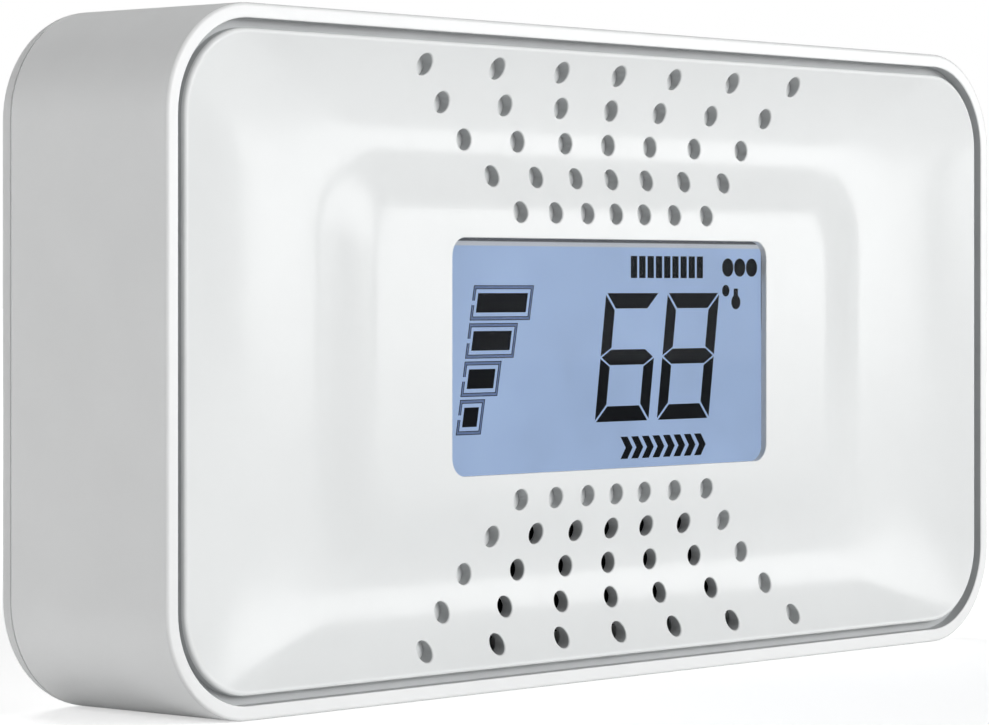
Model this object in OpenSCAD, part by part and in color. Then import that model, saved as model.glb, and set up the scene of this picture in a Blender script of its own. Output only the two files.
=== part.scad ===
// Table-top and wall carbon monoxide detector with a digital display.
// The detector stands on its flat bottom at z = 0 and its display faces -Y.
// Inside face(), y is the depth behind the front rim and z is the height above the middle of the face.

/* [Case] */
// Width of the case
body_w = 148; // [144:1:156]
// Height of the case
body_h = 75; // [75:0.5:80]
// Depth of the case from the front rim to the back
body_d = 26.8; // [26.8:0.2:32]
// Radius of the four corners seen from the front
corner_r = 12; // [11:0.5:14]
// Thickness of the side walls and of the rear cover
wall = 2; // [1.8:0.1:2.2]
// Radius of the rounded rear edge
rear_round = 2.9; // [2:0.1:3]
// Width of the flat white rim round the front
rim_w = 1.4; // [1.2:0.1:1.6]
// Width of the groove between the rim and the front panel
groove_w = 1.2; // [1:0.1:1.4]
// Depth of the groove, which is where the front panel is seated
groove_d = 1.5; // [1.2:0.1:1.8]

/* [Front panel] */
// Thickness of the moulded panel
skin = 2.4; // [2.2:0.1:2.6]
// Depth of the valley that runs round the panel
valley_d = 2.85; // [2:0.05:3]
// Depth of the raised plateau round the display
plateau_d = 1.55; // [1.2:0.05:1.8]
// Half width and half height of the bottom of the valley
valley_half = [50, 24.24]; // [24:0.1:54]
// Half width and half height of the plateau
plateau_half = [40, 15]; // [15:0.1:41]
// Corner radius of the plateau
plateau_r = 4; // [3:0.5:8]

/* [Vents] */
// Diameter of a vent
vent_dia = 2.4; // [2:0.1:2.6]
// Columns on each side of the middle column
vent_columns = 3; // [1:1:3]
// Rows of vents above the display, and as many below it
vent_rows = 5; // [2:1:5]
// Height of the first row from the middle of the face
vent_first = 16.27; // [16.2:0.01:16.4]
// Distance between rows
vent_pitch = 4; // [3.8:0.05:4]
// Sideways lean of a column for each unit of height
vent_lean = 0.3035; // [0.25:0.0005:0.31]
// Growth of the lean towards the outer columns
vent_spread = 0.0145; // [0:0.0005:0.015]
// Depth of a vent that does not go through
vent_blind_d = 1.4; // [1:0.1:1.4]

/* [Display] */
// Width and height of the display opening
display_size = [57.2, 26.6]; // [20:0.1:58]
// Height of a digit
digit_h = 15; // [12:0.1:15.2]
// Width of a digit
digit_w = 9.85; // [7:0.05:10]
// Distance from one digit to the next
digit_pitch = 11.46; // [11:0.02:12]
// Width of a stroke
stroke = 1.8; // [1.2:0.05:2]
// Light gap between strokes
stroke_gap = 0.22; // [0.1:0.02:0.3]
// Sideways lean of the digits for each unit of height
digit_lean = 0.14; // [0:0.01:0.2]
// Sideways lean of the level bars for each unit of height
bar_lean = 0.19; // [0:0.01:0.2]

/* [Moving parts] */
// Length and width of the test button
button_size = [26, 10]; // [8:0.5:30]
// Travel of the test button
button_travel = 1; // [0.6:0.1:1.1]
// Travel of the activation slider
slider_travel = 4; // [3:0.5:4]

/* [Hidden] */

$fn = 48;
gap = 0.1;                                  // small fitting gap between neighbouring pieces
eps = 0.01;                                 // keeps a cut clear of the face it opens through

half_body = [body_w / 2, body_h / 2];
half_lip = half_body - [rim_w, rim_w];      // inside of the front rim
half_panel = half_lip - [groove_w, groove_w];
seat_w = 1;                                 // width of the ledge under the panel's edge
half_seat = half_panel - [seat_w, seat_w];
half_cavity = half_body - [wall, wall];
lip_r = corner_r - rim_w;
panel_r = lip_r - groove_w;
seat_r = panel_r - seat_w;
cavity_r = corner_r - wall;
ledge_t = 1.5;                              // thickness of the ledge that carries the panel
panel_front = 0.05;                         // the panel's edge lies this far behind the rim
panel_back = panel_front + valley_d + skin + 0.35;

cover_d = 3;                                // depth of the rear cover behind its seam
seam = body_d - cover_d;
cover_in = body_d - wall;                   // inner face of the rear cover
corner_mid = half_body - [corner_r, corner_r];
boss_at = corner_mid + [4.24, 4.24];        // housing screw boss in each corner
boss_r = 3.9;
pilot_r = 1.05;
screw_hole_r = 1.5;
screw_head_r = 2.5;
screw_head_h = 1.1;

board_front = 8.6;
board_t = 1.6;
board_back = board_front + board_t;
board_x = [-61.5, 46];
board_half_h = 33;
board_hole_at = [[-57, 24], [-57, -24], [41.5, 24], [41.5, -24]];
small_pilot_r = 0.8;
small_shank_r = 1;
small_head_r = 1.9;
small_head_h = 1.3;
small_post_r = 2.5;

opening_r = 1.5;
glass_r = 1.3;
lip_back = plateau_d + 0.75;                // back of the thin lip round the display opening
window_size = display_size + [2.4, 2];
window_back = lip_back + 0.25;
polarizer_d = [window_back + 0.02, window_back + 0.14];
front_glass_d = [window_back + 0.15, window_back + 0.55];
segment_d = [window_back + 0.56, window_back + 0.59];
rear_glass_d = [window_back + 0.61, window_back + 1.21];
reflector_d = [window_back + 1.23, window_back + 1.43];
glass_size = window_size - [0.4, 0.4];
field_size = [glass_size[0], display_size[1] + 0.2];
strip_z = [13.5, 14.1];                      // height range of a contact strip from the middle
strip_half_l = 28;
guide_size = [57, 26.2];
guide_d = [reflector_d[1] + 0.07, 8.4];
frame_out = [62, 31.2];
frame_in = [59.7, 28.6];

duct_in = [-21, 24, -32.3, -18.7];          // inside of the gas duct: left, right, bottom, top
duct_wall = 1.5;
duct_back = board_front - 1;

sensor_at = [-12, -25];
sensor_r = 8.5;
sensor_d = [board_back + 0.3, board_back + 12.8];
sensor_port_r = 4;
sensor_pin_ring = 5.5;
sensor_pin_turns = [90, 210, 330];

sounder_at = [16, -16.5];
sounder_r = 15;
sounder_h = 8;
sounder_port_at = [12, -26];
sounder_port_r = 2.5;

chip_at = [-20, 4];
capacitor_x = -48;
capacitor_z = [4, 13];
coil_at = [-51, -9];
thermistor_at = [-58, -15];
resistor_first = [-36, 14];
resistor_pitch = [2.6, 5];

cell_r = 8.5;
cell_half = 17.25;
cell_at = [58.5, 15.3];
cradle_floor = [5.75, cell_at[1] - cell_r - 0.05];
cradle_x = [48.6, 68.4];
cradle_lug_z = 23.6;

top_in = half_body[1] - wall;               // underside of the top wall
button_y = body_d / 2;
button_gap = 0.2;
flange_t = 1.1;
flange_z = top_in - gap - flange_t;
flange_size = button_size + [3, 3];
switch_top = 30;
plunger_top = switch_top + button_travel + 0.2;
plunger_foot = switch_top - 2.5;
plunger_r = 1.25;
switch_size = [7, 6.4, 5];

slider_at = [-40, -20];
slider_knob = [7, 7];
slider_recess_d = 1.4;
slider_recess = [slider_knob[0] + slider_travel + 0.6, slider_knob[1] + 0.6];
slider_neck = [3.4, 4];
slider_plate = [9, 7, 1];
slider_boss_t = 1.2;

keyhole_x = 40;
keyhole_z = 8;
keyhole_entry_r = 4;
keyhole_slot_r = 2.1;
keyhole_slot_l = 8;

label_at = [-2, 10];
label_size = [56, 30];
label_t = 0.15;
label_recess = 0.2;

// ---- Helpers ----

// Moves the face's own axes to where the detector stands
module face() {
    translate([0, -body_d / 2, body_h / 2]) children();
}

// Flat outline with four true round corners
module rounded_rect(size, r) {
    square([size[0] - 2 * r, size[1]], center = true);
    square([size[0], size[1] - 2 * r], center = true);
    for (sx = [-1, 1], sz = [-1, 1])
        translate([sx * (size[0] / 2 - r), sz * (size[1] / 2 - r)]) circle(r);
}

// Flat outline with a half circle at each end
module stadium(size) {
    square([size[0] - size[1], size[1]], center = true);
    for (sx = [-1, 1]) translate([sx * (size[0] - size[1]) / 2, 0]) circle(size[1] / 2);
}

// Plate parallel to the face between two depths
module plate(d, at = [0, 0]) {
    translate([at[0], d[1], at[1]]) rotate([90, 0, 0]) linear_extrude(height = d[1] - d[0]) children();
}

module slab(size, r, d, at = [0, 0]) {
    plate(d, at) rounded_rect(size, r);
}

// Cylinder along the depth, and one along the height
module rod(r, d, at) {
    translate([at[0], d[1], at[1]]) rotate([90, 0, 0]) cylinder(r = r, h = d[1] - d[0]);
}

module post(r, z, at) {
    translate([at[0], at[1], z[0]]) cylinder(r = r, h = z[1] - z[0]);
}

// Box between two corners
module block(a, b) {
    translate(a) cube(b - a);
}

// Self-tapping screw along the depth: its head's cross recess opens towards the back
module screw(at, d_tip, d_head, r, head_r, head_h) {
    slot_w = head_r * 0.32;
    slot_l = head_r * 1.25;
    difference() {
        union() {
            rod(r, [d_tip, d_head + eps], at);
            rod(head_r, [d_head, d_head + head_h], at);
        }
        for (turn = [0, 90])
            translate([at[0], d_head + head_h, at[1]]) rotate([0, turn, 0])
                cube([slot_l, head_h, slot_w], center = true);
    }
}

// ---- Moulded relief of the front panel ----

function lerp(a, b, t) = a + (b - a) * t;
function smooth(t) = t * t * (3 - 2 * t);
ring_steps_out = 6;
ring_steps_in = 5;
arc_steps = 8;
valley_r = 10;
outer_power = 1.9;                          // how fast the outer slope steepens towards the panel's edge

// One level of the relief: [half width, half height, corner radius, depth]
function slope_out(t) = [
    lerp(half_panel[0], valley_half[0], t), lerp(half_panel[1], valley_half[1], t),
    lerp(panel_r, valley_r, t), panel_front + (valley_d - panel_front) * (1 - pow(1 - t, outer_power))];
function slope_in(t) = [
    lerp(valley_half[0], plateau_half[0], t), lerp(valley_half[1], plateau_half[1], t),
    lerp(valley_r, plateau_r, t), lerp(valley_d, plateau_d, smooth(t))];
function levels() = concat(
    [for (i = [0 : ring_steps_out]) slope_out(i / ring_steps_out)],
    [for (i = [1 : ring_steps_in]) slope_in(i / ring_steps_in)]);
function outline(half, r, d) = [
    for (c = [0 : 3], i = [0 : arc_steps])
        let (a = c * 90 + i * 90 / arc_steps,
             sx = (c == 0 || c == 3) ? 1 : -1,
             sz = (c < 2) ? 1 : -1)
        [sx * (half[0] - r) + r * cos(a), d, sz * (half[1] - r) + r * sin(a)]];

// Everything from the relief, moved back by shift, to the depth back
module behind_relief(shift, back) {
    rings = levels();
    n = 4 * (arc_steps + 1);
    count = len(rings);
    points = concat(
        [for (l = rings) each outline([l[0], l[1]], l[2], l[3] + shift)],
        outline(half_panel, panel_r, back));
    function band(k0, k1) = [
        for (i = [0 : n - 1])
            let (j = (i + 1) % n)
            each [[k0 * n + i, k1 * n + i, k0 * n + j], [k0 * n + j, k1 * n + i, k1 * n + j]]];
    faces = concat(
        [for (k = [0 : count - 2]) each band(k, k + 1)],
        band(count, 0),
        [[for (i = [0 : n - 1]) (count - 1) * n + i]],
        [[for (i = [n - 1 : -1 : 0]) count * n + i]]);
    polyhedron(points = points, faces = faces, convexity = 6);
}

// ---- Vents ----

function vent_z(row) = vent_first + row * vent_pitch;
function vent_at(side, row, k) =
    [vent_z(row) * (vent_lean * k + vent_spread * k * abs(k)), side * vent_z(row)];
function vent_is_open(side, row, k) = side < 0 && row > 0 && abs(k) < vent_columns;
function relief_d(z) = z > valley_half[1]
    ? lerp(valley_d, panel_front, pow((z - valley_half[1]) / (half_panel[1] - valley_half[1]), outer_power))
    : lerp(plateau_d, valley_d, smooth((z - plateau_half[1]) / (valley_half[1] - plateau_half[1])));
function vent_floor(row) = relief_d(vent_z(row)) + vent_blind_d;

module vents() {
    for (side = [-1, 1], row = [0 : vent_rows - 1], k = [-vent_columns : vent_columns])
        rod(vent_dia / 2, [-1, vent_is_open(side, row, k) ? panel_back + 1 : vent_floor(row)],
            vent_at(side, row, k));
}

// ---- Case ----

module housing() {
    color("white") face() difference() {
        union() {
            difference() {
                slab(2 * half_body, corner_r, [0, seam]);
                slab(2 * half_lip, lip_r, [-1, groove_d]);
                slab(2 * half_seat, seat_r, [groove_d - 1, groove_d + ledge_t + 1]);
                slab(2 * half_cavity, cavity_r, [groove_d + ledge_t, seam + 1]);
            }
            for (sx = [-1, 1], sz = [-1, 1]) corner_boss(sx, sz);
        }
        for (sx = [-1, 1], sz = [-1, 1])
            rod(pilot_r, [cover_in - 9, cover_in + 1], [sx * boss_at[0], sz * boss_at[1]]);
        button_hole();
    }
}

module corner_boss(sx, sz) {
    boss_front = panel_back + 0.6;
    rod(boss_r, [boss_front, cover_in], [sx * boss_at[0], sz * boss_at[1]]);
    translate([sx * corner_mid[0], 0, sz * corner_mid[1]]) rotate([0, -sx * sz * 45, 0])
        translate([sx > 0 ? 6 : -10.6, boss_front, -1.5]) cube([4.6, seam - boss_front, 3]);
}

module button_hole() {
    translate([0, button_y, top_in - 1]) linear_extrude(height = wall + 2)
        stadium(button_size + 2 * [button_gap, button_gap]);
}

// Plate whose edge on the back side is a true quarter round
module round_backed_plate(size, r, d, fillet) {
    inner = size - 2 * [fillet, fillet];
    round_d = d[1] - fillet;
    slab(size, r, [d[0], round_d]);
    slab(inner, r - fillet, [round_d - eps, d[1]]);
    intersection() {
        block([-size[0], d[0], -size[1]], [size[0], d[1] + 1, size[1]]);
        union() {
            for (sz = [-1, 1]) edge_bar([size[0] - 2 * r, sz * inner[1] / 2], fillet, round_d);
            for (sx = [-1, 1]) rotate([0, 90, 0])
                edge_bar([size[1] - 2 * r, sx * inner[0] / 2], fillet, round_d);
        }
    }
    for (sx = [-1, 1], sz = [-1, 1])
        translate([sx * (size[0] / 2 - r), round_d, sz * (size[1] / 2 - r)]) rotate([-90, 0, 0])
            rotate_extrude() translate([r - fillet, 0]) quarter_disc(fillet);
}

module edge_bar(bar, r, d) {
    translate([-bar[0] / 2, d, bar[1]]) rotate([0, 90, 0]) cylinder(r = r, h = bar[0]);
}

module quarter_disc(r) {
    intersection() {
        circle(r);
        square(r + 1);
    }
}

module rear_cover() {
    color("whitesmoke") face() difference() {
        union() {
            difference() {
                round_backed_plate(2 * half_body, corner_r, [seam, body_d], rear_round);
                slab(2 * half_cavity, cavity_r, [seam - 1, cover_in]);
            }
            locating_ribs();
            slab([slider_recess[0] + 4, slider_recess[1] + 4], 2, [cover_in - slider_boss_t, cover_in + eps],
                slider_at);
        }
        for (sx = [-1, 1], sz = [-1, 1]) {
            rod(screw_hole_r, [seam - 1, body_d + 1], [sx * boss_at[0], sz * boss_at[1]]);
            rod(screw_head_r + gap, [body_d - screw_head_h - 0.1, body_d + 1],
                [sx * boss_at[0], sz * boss_at[1]]);
        }
        for (sx = [-1, 1]) keyhole(sx * keyhole_x);
        slab(slider_recess, 1, [body_d - slider_recess_d, body_d + 1], slider_at);
        slab(slider_neck + [slider_travel + 0.4, 0.4], 0.5, [seam - 3, body_d + 1], slider_at);
        slab(label_size + [0.4, 0.4], 2, [body_d - label_recess, body_d + 1], label_at);
    }
}

module locating_ribs() {
    rib_t = 1.2;
    rib_d = [seam - 2, cover_in + eps];
    edge = half_cavity - [0.15, 0.15];
    for (s = [-1, 1]) {
        slab([100, rib_t], 0.4, rib_d, [0, s * (edge[1] - rib_t / 2)]);
        slab([rib_t, 40], 0.4, rib_d, [s * (edge[0] - rib_t / 2), 0]);
    }
}

// Round entry for a screw's head with a narrow slot above it
module keyhole(x) {
    rod(keyhole_entry_r, [seam - 2, body_d + 1], [x, keyhole_z]);
    rod(keyhole_slot_r, [seam - 2, body_d + 1], [x, keyhole_z + keyhole_slot_l]);
    block([x - keyhole_slot_r, seam - 2, keyhole_z],
        [x + keyhole_slot_r, body_d + 1, keyhole_z + keyhole_slot_l]);
}

module cover_screws() {
    color("silver") face() for (sx = [-1, 1], sz = [-1, 1])
        screw([sx * boss_at[0], sz * boss_at[1]], cover_in - 8, body_d - screw_head_h - 0.1,
            pilot_r - 0.05, screw_head_r, screw_head_h - 0.1);
}

module rating_label() {
    color("lightgray") face() slab(label_size, 1.8, [body_d - label_recess, body_d - label_recess + label_t],
        label_at);
}

// ---- Front panel and display ----

module front_panel() {
    half_skirt = half_seat - [gap, gap];
    half_hollow = half_skirt - [1.4, 1.4];
    color("white") face() difference() {
        union() {
            difference() {
                intersection() {
                    behind_relief(0, panel_back + 1);
                    union() {
                        slab(2 * half_panel, panel_r, [-1, groove_d]);
                        slab(2 * half_skirt, seat_r - gap, [0, panel_back]);
                    }
                }
                intersection() {
                    behind_relief(skin, panel_back + 2);
                    slab(2 * half_hollow, seat_r - gap - 1.4, [0, panel_back + 1]);
                }
            }
            for (at = board_hole_at) rod(small_post_r, [4, board_front], at);
            for (sz = [-1, 1]) rod(small_post_r, [3.6, board_front], [cell_at[0], sz * cradle_lug_z]);
            duct_ring([4, duct_back]);
        }
        intersection() {
            behind_relief(vent_blind_d, panel_back + 2);
            block([duct_in[0], 0, duct_in[2] - 1.3], [duct_in[1], panel_back + 1, duct_in[3]]);
        }
        for (at = board_hole_at) rod(small_pilot_r, [4.8, board_front + 1], at);
        for (sz = [-1, 1]) rod(small_pilot_r, [4.8, board_front + 1], [cell_at[0], sz * cradle_lug_z]);
        slab(display_size, opening_r, [-1, panel_back]);
        slab(window_size + [0.2, 0.2], glass_r + gap, [lip_back, panel_back + 1]);
        vents();
    }
}

// Rectangular wall that leads the air from the open vents to the board
module duct_ring(d) {
    middle = [(duct_in[0] + duct_in[1]) / 2, (duct_in[2] + duct_in[3]) / 2];
    size = [duct_in[1] - duct_in[0], duct_in[3] - duct_in[2]];
    plate(d, middle) difference() {
        square(size + 2 * [duct_wall, duct_wall], center = true);
        square(size, center = true);
    }
}

module gas_duct_gasket() {
    color("dimgray") face() duct_ring([duct_back + 0.02, board_front - 0.02]);
}

module vent_dust_screen() {
    color("black") face() block([duct_in[0] + 0.3, panel_back - 0.1, duct_in[2] + 0.3],
        [duct_in[1] - 0.3, panel_back + 0.1, duct_in[3] - 0.3]);
}

module display_window() {
    color("lightcyan", 0.4) face() slab(window_size, glass_r, [lip_back, window_back]);
}

module display_polarizer() {
    color("lightsteelblue", 0.5) face() slab(glass_size, glass_r, polarizer_d);
}

module display_front_glass() {
    color("lightblue", 0.5) face() slab(glass_size, glass_r, front_glass_d);
}

module display_rear_glass() {
    color("lightsteelblue") face() slab(field_size, 0.3, rear_glass_d);
}

module display_reflector() {
    color("steelblue") face() slab(field_size, 0.3, reflector_d);
}

// Dark strokes of the display: two leaning digits, four level bars and plain pictograms
module display_segments() {
    color("black") face() plate(segment_d) {
        translate(first_digit_at) digit([1, 0, 1, 1, 1, 1, 1]);
        translate(first_digit_at + [digit_pitch, 0]) digit([1, 1, 1, 1, 1, 1, 1]);
        level_bars() bar_strokes(bar_w($bar));
        degree_mark();
        history_bars();
        gas_dots();
        exit_arrows();
    }
}

first_digit_at = [3.86, -0.42];

module lean(rate) {
    multmatrix([[1, rate, 0, 0], [0, 1, 0, 0], [0, 0, 1, 0], [0, 0, 0, 1]]) children();
}

// Seven strokes in the order top, upper right, lower right, bottom, lower left, upper left, middle
module digit(lit) {
    w = digit_w / 2;
    h = digit_h / 2;
    s = stroke;
    g = stroke_gap;
    flat = [[g - w, h], [w - g, h], [w - s - g, h - s], [s + g - w, h - s]];
    upright = [[w, h - g], [w - s, h - s - g], [w - s, s / 2 + g], [w, g * 0.7]];
    middle = [[g - w, 0], [s - w, s / 2], [w - s, s / 2], [w - g, 0], [w - s, -s / 2], [s - w, -s / 2]];
    lean(digit_lean) {
        if (lit[0]) polygon(flat);
        if (lit[1]) polygon(upright);
        if (lit[2]) mirror([0, 1]) polygon(upright);
        if (lit[3]) mirror([0, 1]) polygon(flat);
        if (lit[4]) rotate(180) polygon(upright);
        if (lit[5]) mirror([1, 0]) polygon(upright);
        if (lit[6]) polygon(middle);
    }
}

// Half-tone filling between the two frame lines of each level bar, in the same layer as the dark strokes
module display_bar_frames() {
    color("slategray") face() plate(segment_d)
        level_bars() bar_ring(bar_w($bar), bar_line + eps, bar_second - eps);
}

bar_h = 3.95;
bar_step = [0.78, 4.27];
bar_at = [-26.35, -8.77];
bar_line = 0.1;
bar_second = 0.34;                          // from a bar's outside to its second frame line
bar_inset = 0.88;                           // from a bar's outside to its block
bar_notch = 0.5;
function bar_w(i) = 4.2 + 2.03 * i;

// Four stacked level bars that widen upwards
module level_bars() {
    for ($bar = [0 : 3]) translate(bar_at + $bar * bar_step) lean(bar_lean) children();
}

module bar_strokes(w) {
    bar_ring(w, 0, bar_line);
    bar_ring(w, bar_second, bar_second + bar_line);
    inset_square(w, bar_inset);
}

module inset_square(w, inset) {
    translate([inset, inset]) square([w - 2 * inset, bar_h - 2 * inset]);
}

// Frame between two insets, open at the middle of its left side
module bar_ring(w, outer, inner) {
    difference() {
        inset_square(w, outer);
        inset_square(w, inner);
        translate([outer - eps, (bar_h - bar_notch) / 2]) square([inner - outer + 2 * eps, bar_notch]);
    }
}

degree_at = [22.6, 7.35];
degree_r = 0.7;
thermometer_at = [24.58, 5.97];             // middle of its bulb
thermometer_r = 0.87;

// Degree dot with a small thermometer under it
module degree_mark() {
    translate(degree_at) circle(degree_r);
    translate(thermometer_at) {
        circle(thermometer_r);
        translate([-0.4, 0]) square([0.8, 1.63]);
    }
}

mark_h = 2.6;                               // height of the marks above and below the digits
history_at = [4.5, 8.85];
history_pitch = 1.56;
history_w = 1.15;

// Row of upright bars, for stored readings
module history_bars() {
    for (i = [0 : 8]) translate(history_at + [i * history_pitch, 0]) square([history_w, mark_h]);
}

dots_at = [23, 10.15];
dot_pitch = 2.35;
dot_r = 1.1;

// Three dots of gas
module gas_dots() {
    for (i = [0 : 2]) translate(dots_at + [i * dot_pitch, 0]) circle(dot_r);
}

arrows_at = [2.6, -11.04];
arrow_pitch = 1.98;
arrow_w = 2.2;
arrow_stroke = 1.25;

// Row of arrow heads that point the way out
module exit_arrows() {
    h = mark_h / 2;
    for (i = [0 : 7]) translate(arrows_at + [i * arrow_pitch, 0])
        polygon([[0, h], [arrow_stroke, h], [arrow_w, 0], [arrow_stroke, -h], [0, -h],
            [arrow_w - arrow_stroke, 0]]);
}

// Rubber strips that join the front glass's contacts to the board
module display_contact_strips() {
    color("dimgray") face() for (s = [-1, 1])
        block([-strip_half_l, front_glass_d[1] + 0.01, s > 0 ? strip_z[0] : -strip_z[1]],
            [strip_half_l, board_front - 0.01, s > 0 ? strip_z[1] : -strip_z[0]]);
}

module backlight_guide() {
    color("ghostwhite") face() slab(guide_size, 1, guide_d);
}

module backlight_leds() {
    led = [1, 1.8, 3.2];
    color("khaki") face() for (z = [-7, 7])
        translate([guide_size[0] / 2 + 0.1, board_front - 0.02 - led[1], z - led[2] / 2]) cube(led);
}

module display_frame() {
    color("white") face() plate([reflector_d[1] + 0.1, board_front - 0.02]) difference() {
        rounded_rect(frame_out, 1);
        rounded_rect(frame_in, 0.8);
    }
}

// ---- Circuit board and what it carries ----

module circuit_board() {
    middle = (board_x[0] + board_x[1]) / 2;
    color("darkgreen") face() difference() {
        slab([board_x[1] - board_x[0], 2 * board_half_h], 1, [board_front, board_back], [middle, 0]);
        for (at = board_hole_at) rod(small_shank_r + 0.2, [board_front - 1, board_back + 1], at);
        rod(sensor_port_r, [board_front - 1, board_back + 1], sensor_at);
        for (a = sensor_pin_turns)
            rod(0.55, [board_front - 1, board_back + 1],
                sensor_at + sensor_pin_ring * [cos(a), sin(a)]);
        rod(sounder_port_r, [board_front - 1, board_back + 1], sounder_port_at);
    }
}

module board_screws() {
    color("silver") face() for (at = board_hole_at)
        screw(at, 5, board_back + 0.02, small_pilot_r - 0.05, small_head_r, small_head_h);
}

module co_sensor_body() {
    color("gainsboro") face() difference() {
        rod(sensor_r, sensor_d, sensor_at);
        rod(sensor_r - 1, [sensor_d[0] - 1, sensor_d[0] + 3], sensor_at);
    }
}

// Inlet cap with one small hole for the gas
module co_sensor_cap() {
    color("darkslategray") face() difference() {
        rod(sensor_r - 1.05, [sensor_d[0], sensor_d[0] + 2.95], sensor_at);
        rod(1, [sensor_d[0] - 1, sensor_d[0] + 4], sensor_at);
        for (a = sensor_pin_turns)
            rod(0.45, [sensor_d[0] - 1, sensor_d[0] + 4], sensor_at + sensor_pin_ring * [cos(a), sin(a)]);
    }
}

module co_sensor_pins() {
    color("gold") face() for (a = sensor_pin_turns)
        rod(0.4, [board_front - 0.6, sensor_d[0] + 2.9], sensor_at + sensor_pin_ring * [cos(a), sin(a)]);
}

sounder_d = [board_back + 0.02, board_back + sounder_h];
disc_d = board_back + 5;

module sounder_shell() {
    color("black") face() difference() {
        rod(sounder_r, sounder_d, sounder_at);
        rod(sounder_r - 1.6, [sounder_d[0] + 1.2, disc_d], sounder_at);
        rod(sounder_r - 1, [disc_d - eps, sounder_d[1] + 1], sounder_at);
        rod(sounder_port_r, [sounder_d[0] - 1, sounder_d[0] + 2], sounder_port_at);
    }
}

module sounder_disc() {
    color("goldenrod") face() rod(sounder_r - 1.1, [disc_d + 0.01, disc_d + 0.26], sounder_at);
}

module sounder_ceramic() {
    color("ivory") face() rod(9, [disc_d + 0.27, disc_d + 0.5], sounder_at);
}

module sounder_contacts() {
    color("silver") face() for (x = [-4, 4])
        rod(0.5, [disc_d + 0.52, sounder_d[1] + 0.6], sounder_at + [x, 0]);
}

module sounder_lid() {
    color("black") face() difference() {
        rod(sounder_r - 1.1, [sounder_d[1] - 1.2, sounder_d[1] - 0.05], sounder_at);
        for (x = [-4, 4]) rod(0.7, [sounder_d[1] - 2, sounder_d[1] + 1], sounder_at + [x, 0]);
        for (a = [30 : 60 : 330])
            rod(1, [sounder_d[1] - 2, sounder_d[1] + 1], sounder_at + 9 * [cos(a), sin(a)]);
    }
}

module microcontroller() {
    color("black") face() slab([10, 10], 0.4, [board_back + 0.15, board_back + 1.55], chip_at);
}

module microcontroller_leads() {
    lead = [0.3, 0.9];
    color("silver") face() for (turn = [0 : 90 : 270], i = [-5 : 5])
        translate([chip_at[0], 0, chip_at[1]]) rotate([0, turn, 0])
            translate([i * 0.8 - lead[0] / 2, board_back + 0.02, 5.02]) cube([lead[0], 0.6, lead[1]]);
}

module storage_capacitors() {
    color("slategray") face() for (z = capacitor_z)
        rod(3.15, [board_back + 0.1, board_back + 8.1], [capacitor_x, z]);
}

module step_up_coil() {
    color("dimgray") face() difference() {
        rod(4.5, [board_back + 0.02, board_back + 7], coil_at);
        difference() {
            rod(5, [board_back + 1.4, board_back + 5.6], coil_at);
            rod(3.4, [board_back + 1, board_back + 6], coil_at);
        }
    }
}

module temperature_sensor() {
    color("saddlebrown") face() translate([thermistor_at[0], board_back + 2.2, thermistor_at[1]]) {
        sphere(1.3);
        for (x = [-0.7, 0.7]) translate([x, 0, 0]) rotate([90, 0, 0]) cylinder(r = 0.25, h = 2.15);
    }
}

module chip_resistors() {
    color("black") face() for (i = [0 : 5], j = [0 : 1])
        translate([resistor_first[0] + i * resistor_pitch[0], board_back + 0.02,
            resistor_first[1] + j * resistor_pitch[1]]) cube([1.2, 0.55, 2]);
}

// ---- Power ----

module battery_cell() {
    color("orange") face() {
        post(cell_r, [-cell_half, cell_half - 1.2], cell_at);
        post(3.2, [cell_half - 1.3, cell_half], cell_at);
    }
}

module battery_cradle() {
    end_z = [cell_half + 0.4, cell_half + 1.8];
    side_t = 1.2;
    color("dimgray") face() {
        block([cradle_x[0], cradle_floor[0], -end_z[1]], [cradle_x[1], cradle_floor[1], end_z[1]]);
        for (s = [-1, 1]) {
            translate([cradle_x[0], cradle_floor[0], s > 0 ? end_z[0] : -end_z[1]])
                cube([cradle_x[1] - cradle_x[0], 11, end_z[1] - end_z[0]]);
            cradle_lug(s, end_z[1] - 0.2);
        }
        for (x = [cradle_x[0], cradle_x[1] - side_t])
            block([x, cradle_floor[0], -end_z[1]], [x + side_t, cradle_floor[1] + 2.5, end_z[1]]);
    }
}

module cradle_lug(s, z0) {
    lug_t = 1.2;
    lug_half = 3.4;
    reach = cradle_lug_z + 3 - z0;
    difference() {
        translate([cell_at[0] - lug_half, board_front + 0.02, s > 0 ? z0 : -z0 - reach])
            cube([2 * lug_half, lug_t, reach]);
        rod(small_shank_r + 0.2, [board_front - 1, board_front + lug_t + 1], [cell_at[0], s * cradle_lug_z]);
    }
}

module cradle_screws() {
    color("silver") face() for (s = [-1, 1])
        screw([cell_at[0], s * cradle_lug_z], 5, board_front + 1.24, small_pilot_r - 0.05, small_head_r,
            small_head_h);
}

// Strip from an end of the cell to the board
module battery_tab(z) {
    strip = [[43, board_back + 0.02], [45.4, board_back + 0.02], [45.4, 13.2], [61, 13.2], [61, 17.2],
        [43, 17.2]];
    translate([0, 0, z]) linear_extrude(height = 0.25) polygon(strip);
}

module battery_tab_positive() {
    color("silver") face() battery_tab(cell_half + 0.05);
}

module battery_tab_negative() {
    color("silver") face() battery_tab(-cell_half - 0.3);
}

// ---- Test button ----

module test_button() {
    stem_r = 1.6;
    color("white") face() {
        translate([0, button_y, flange_z + flange_t - eps])
            linear_extrude(height = half_body[1] - flange_z - flange_t + eps)
                stadium(button_size);
        translate([0, button_y, flange_z]) linear_extrude(height = flange_t) stadium(flange_size);
        post(stem_r, [plunger_top + 0.05, flange_z + 0.1], [0, button_y]);
    }
}

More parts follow.
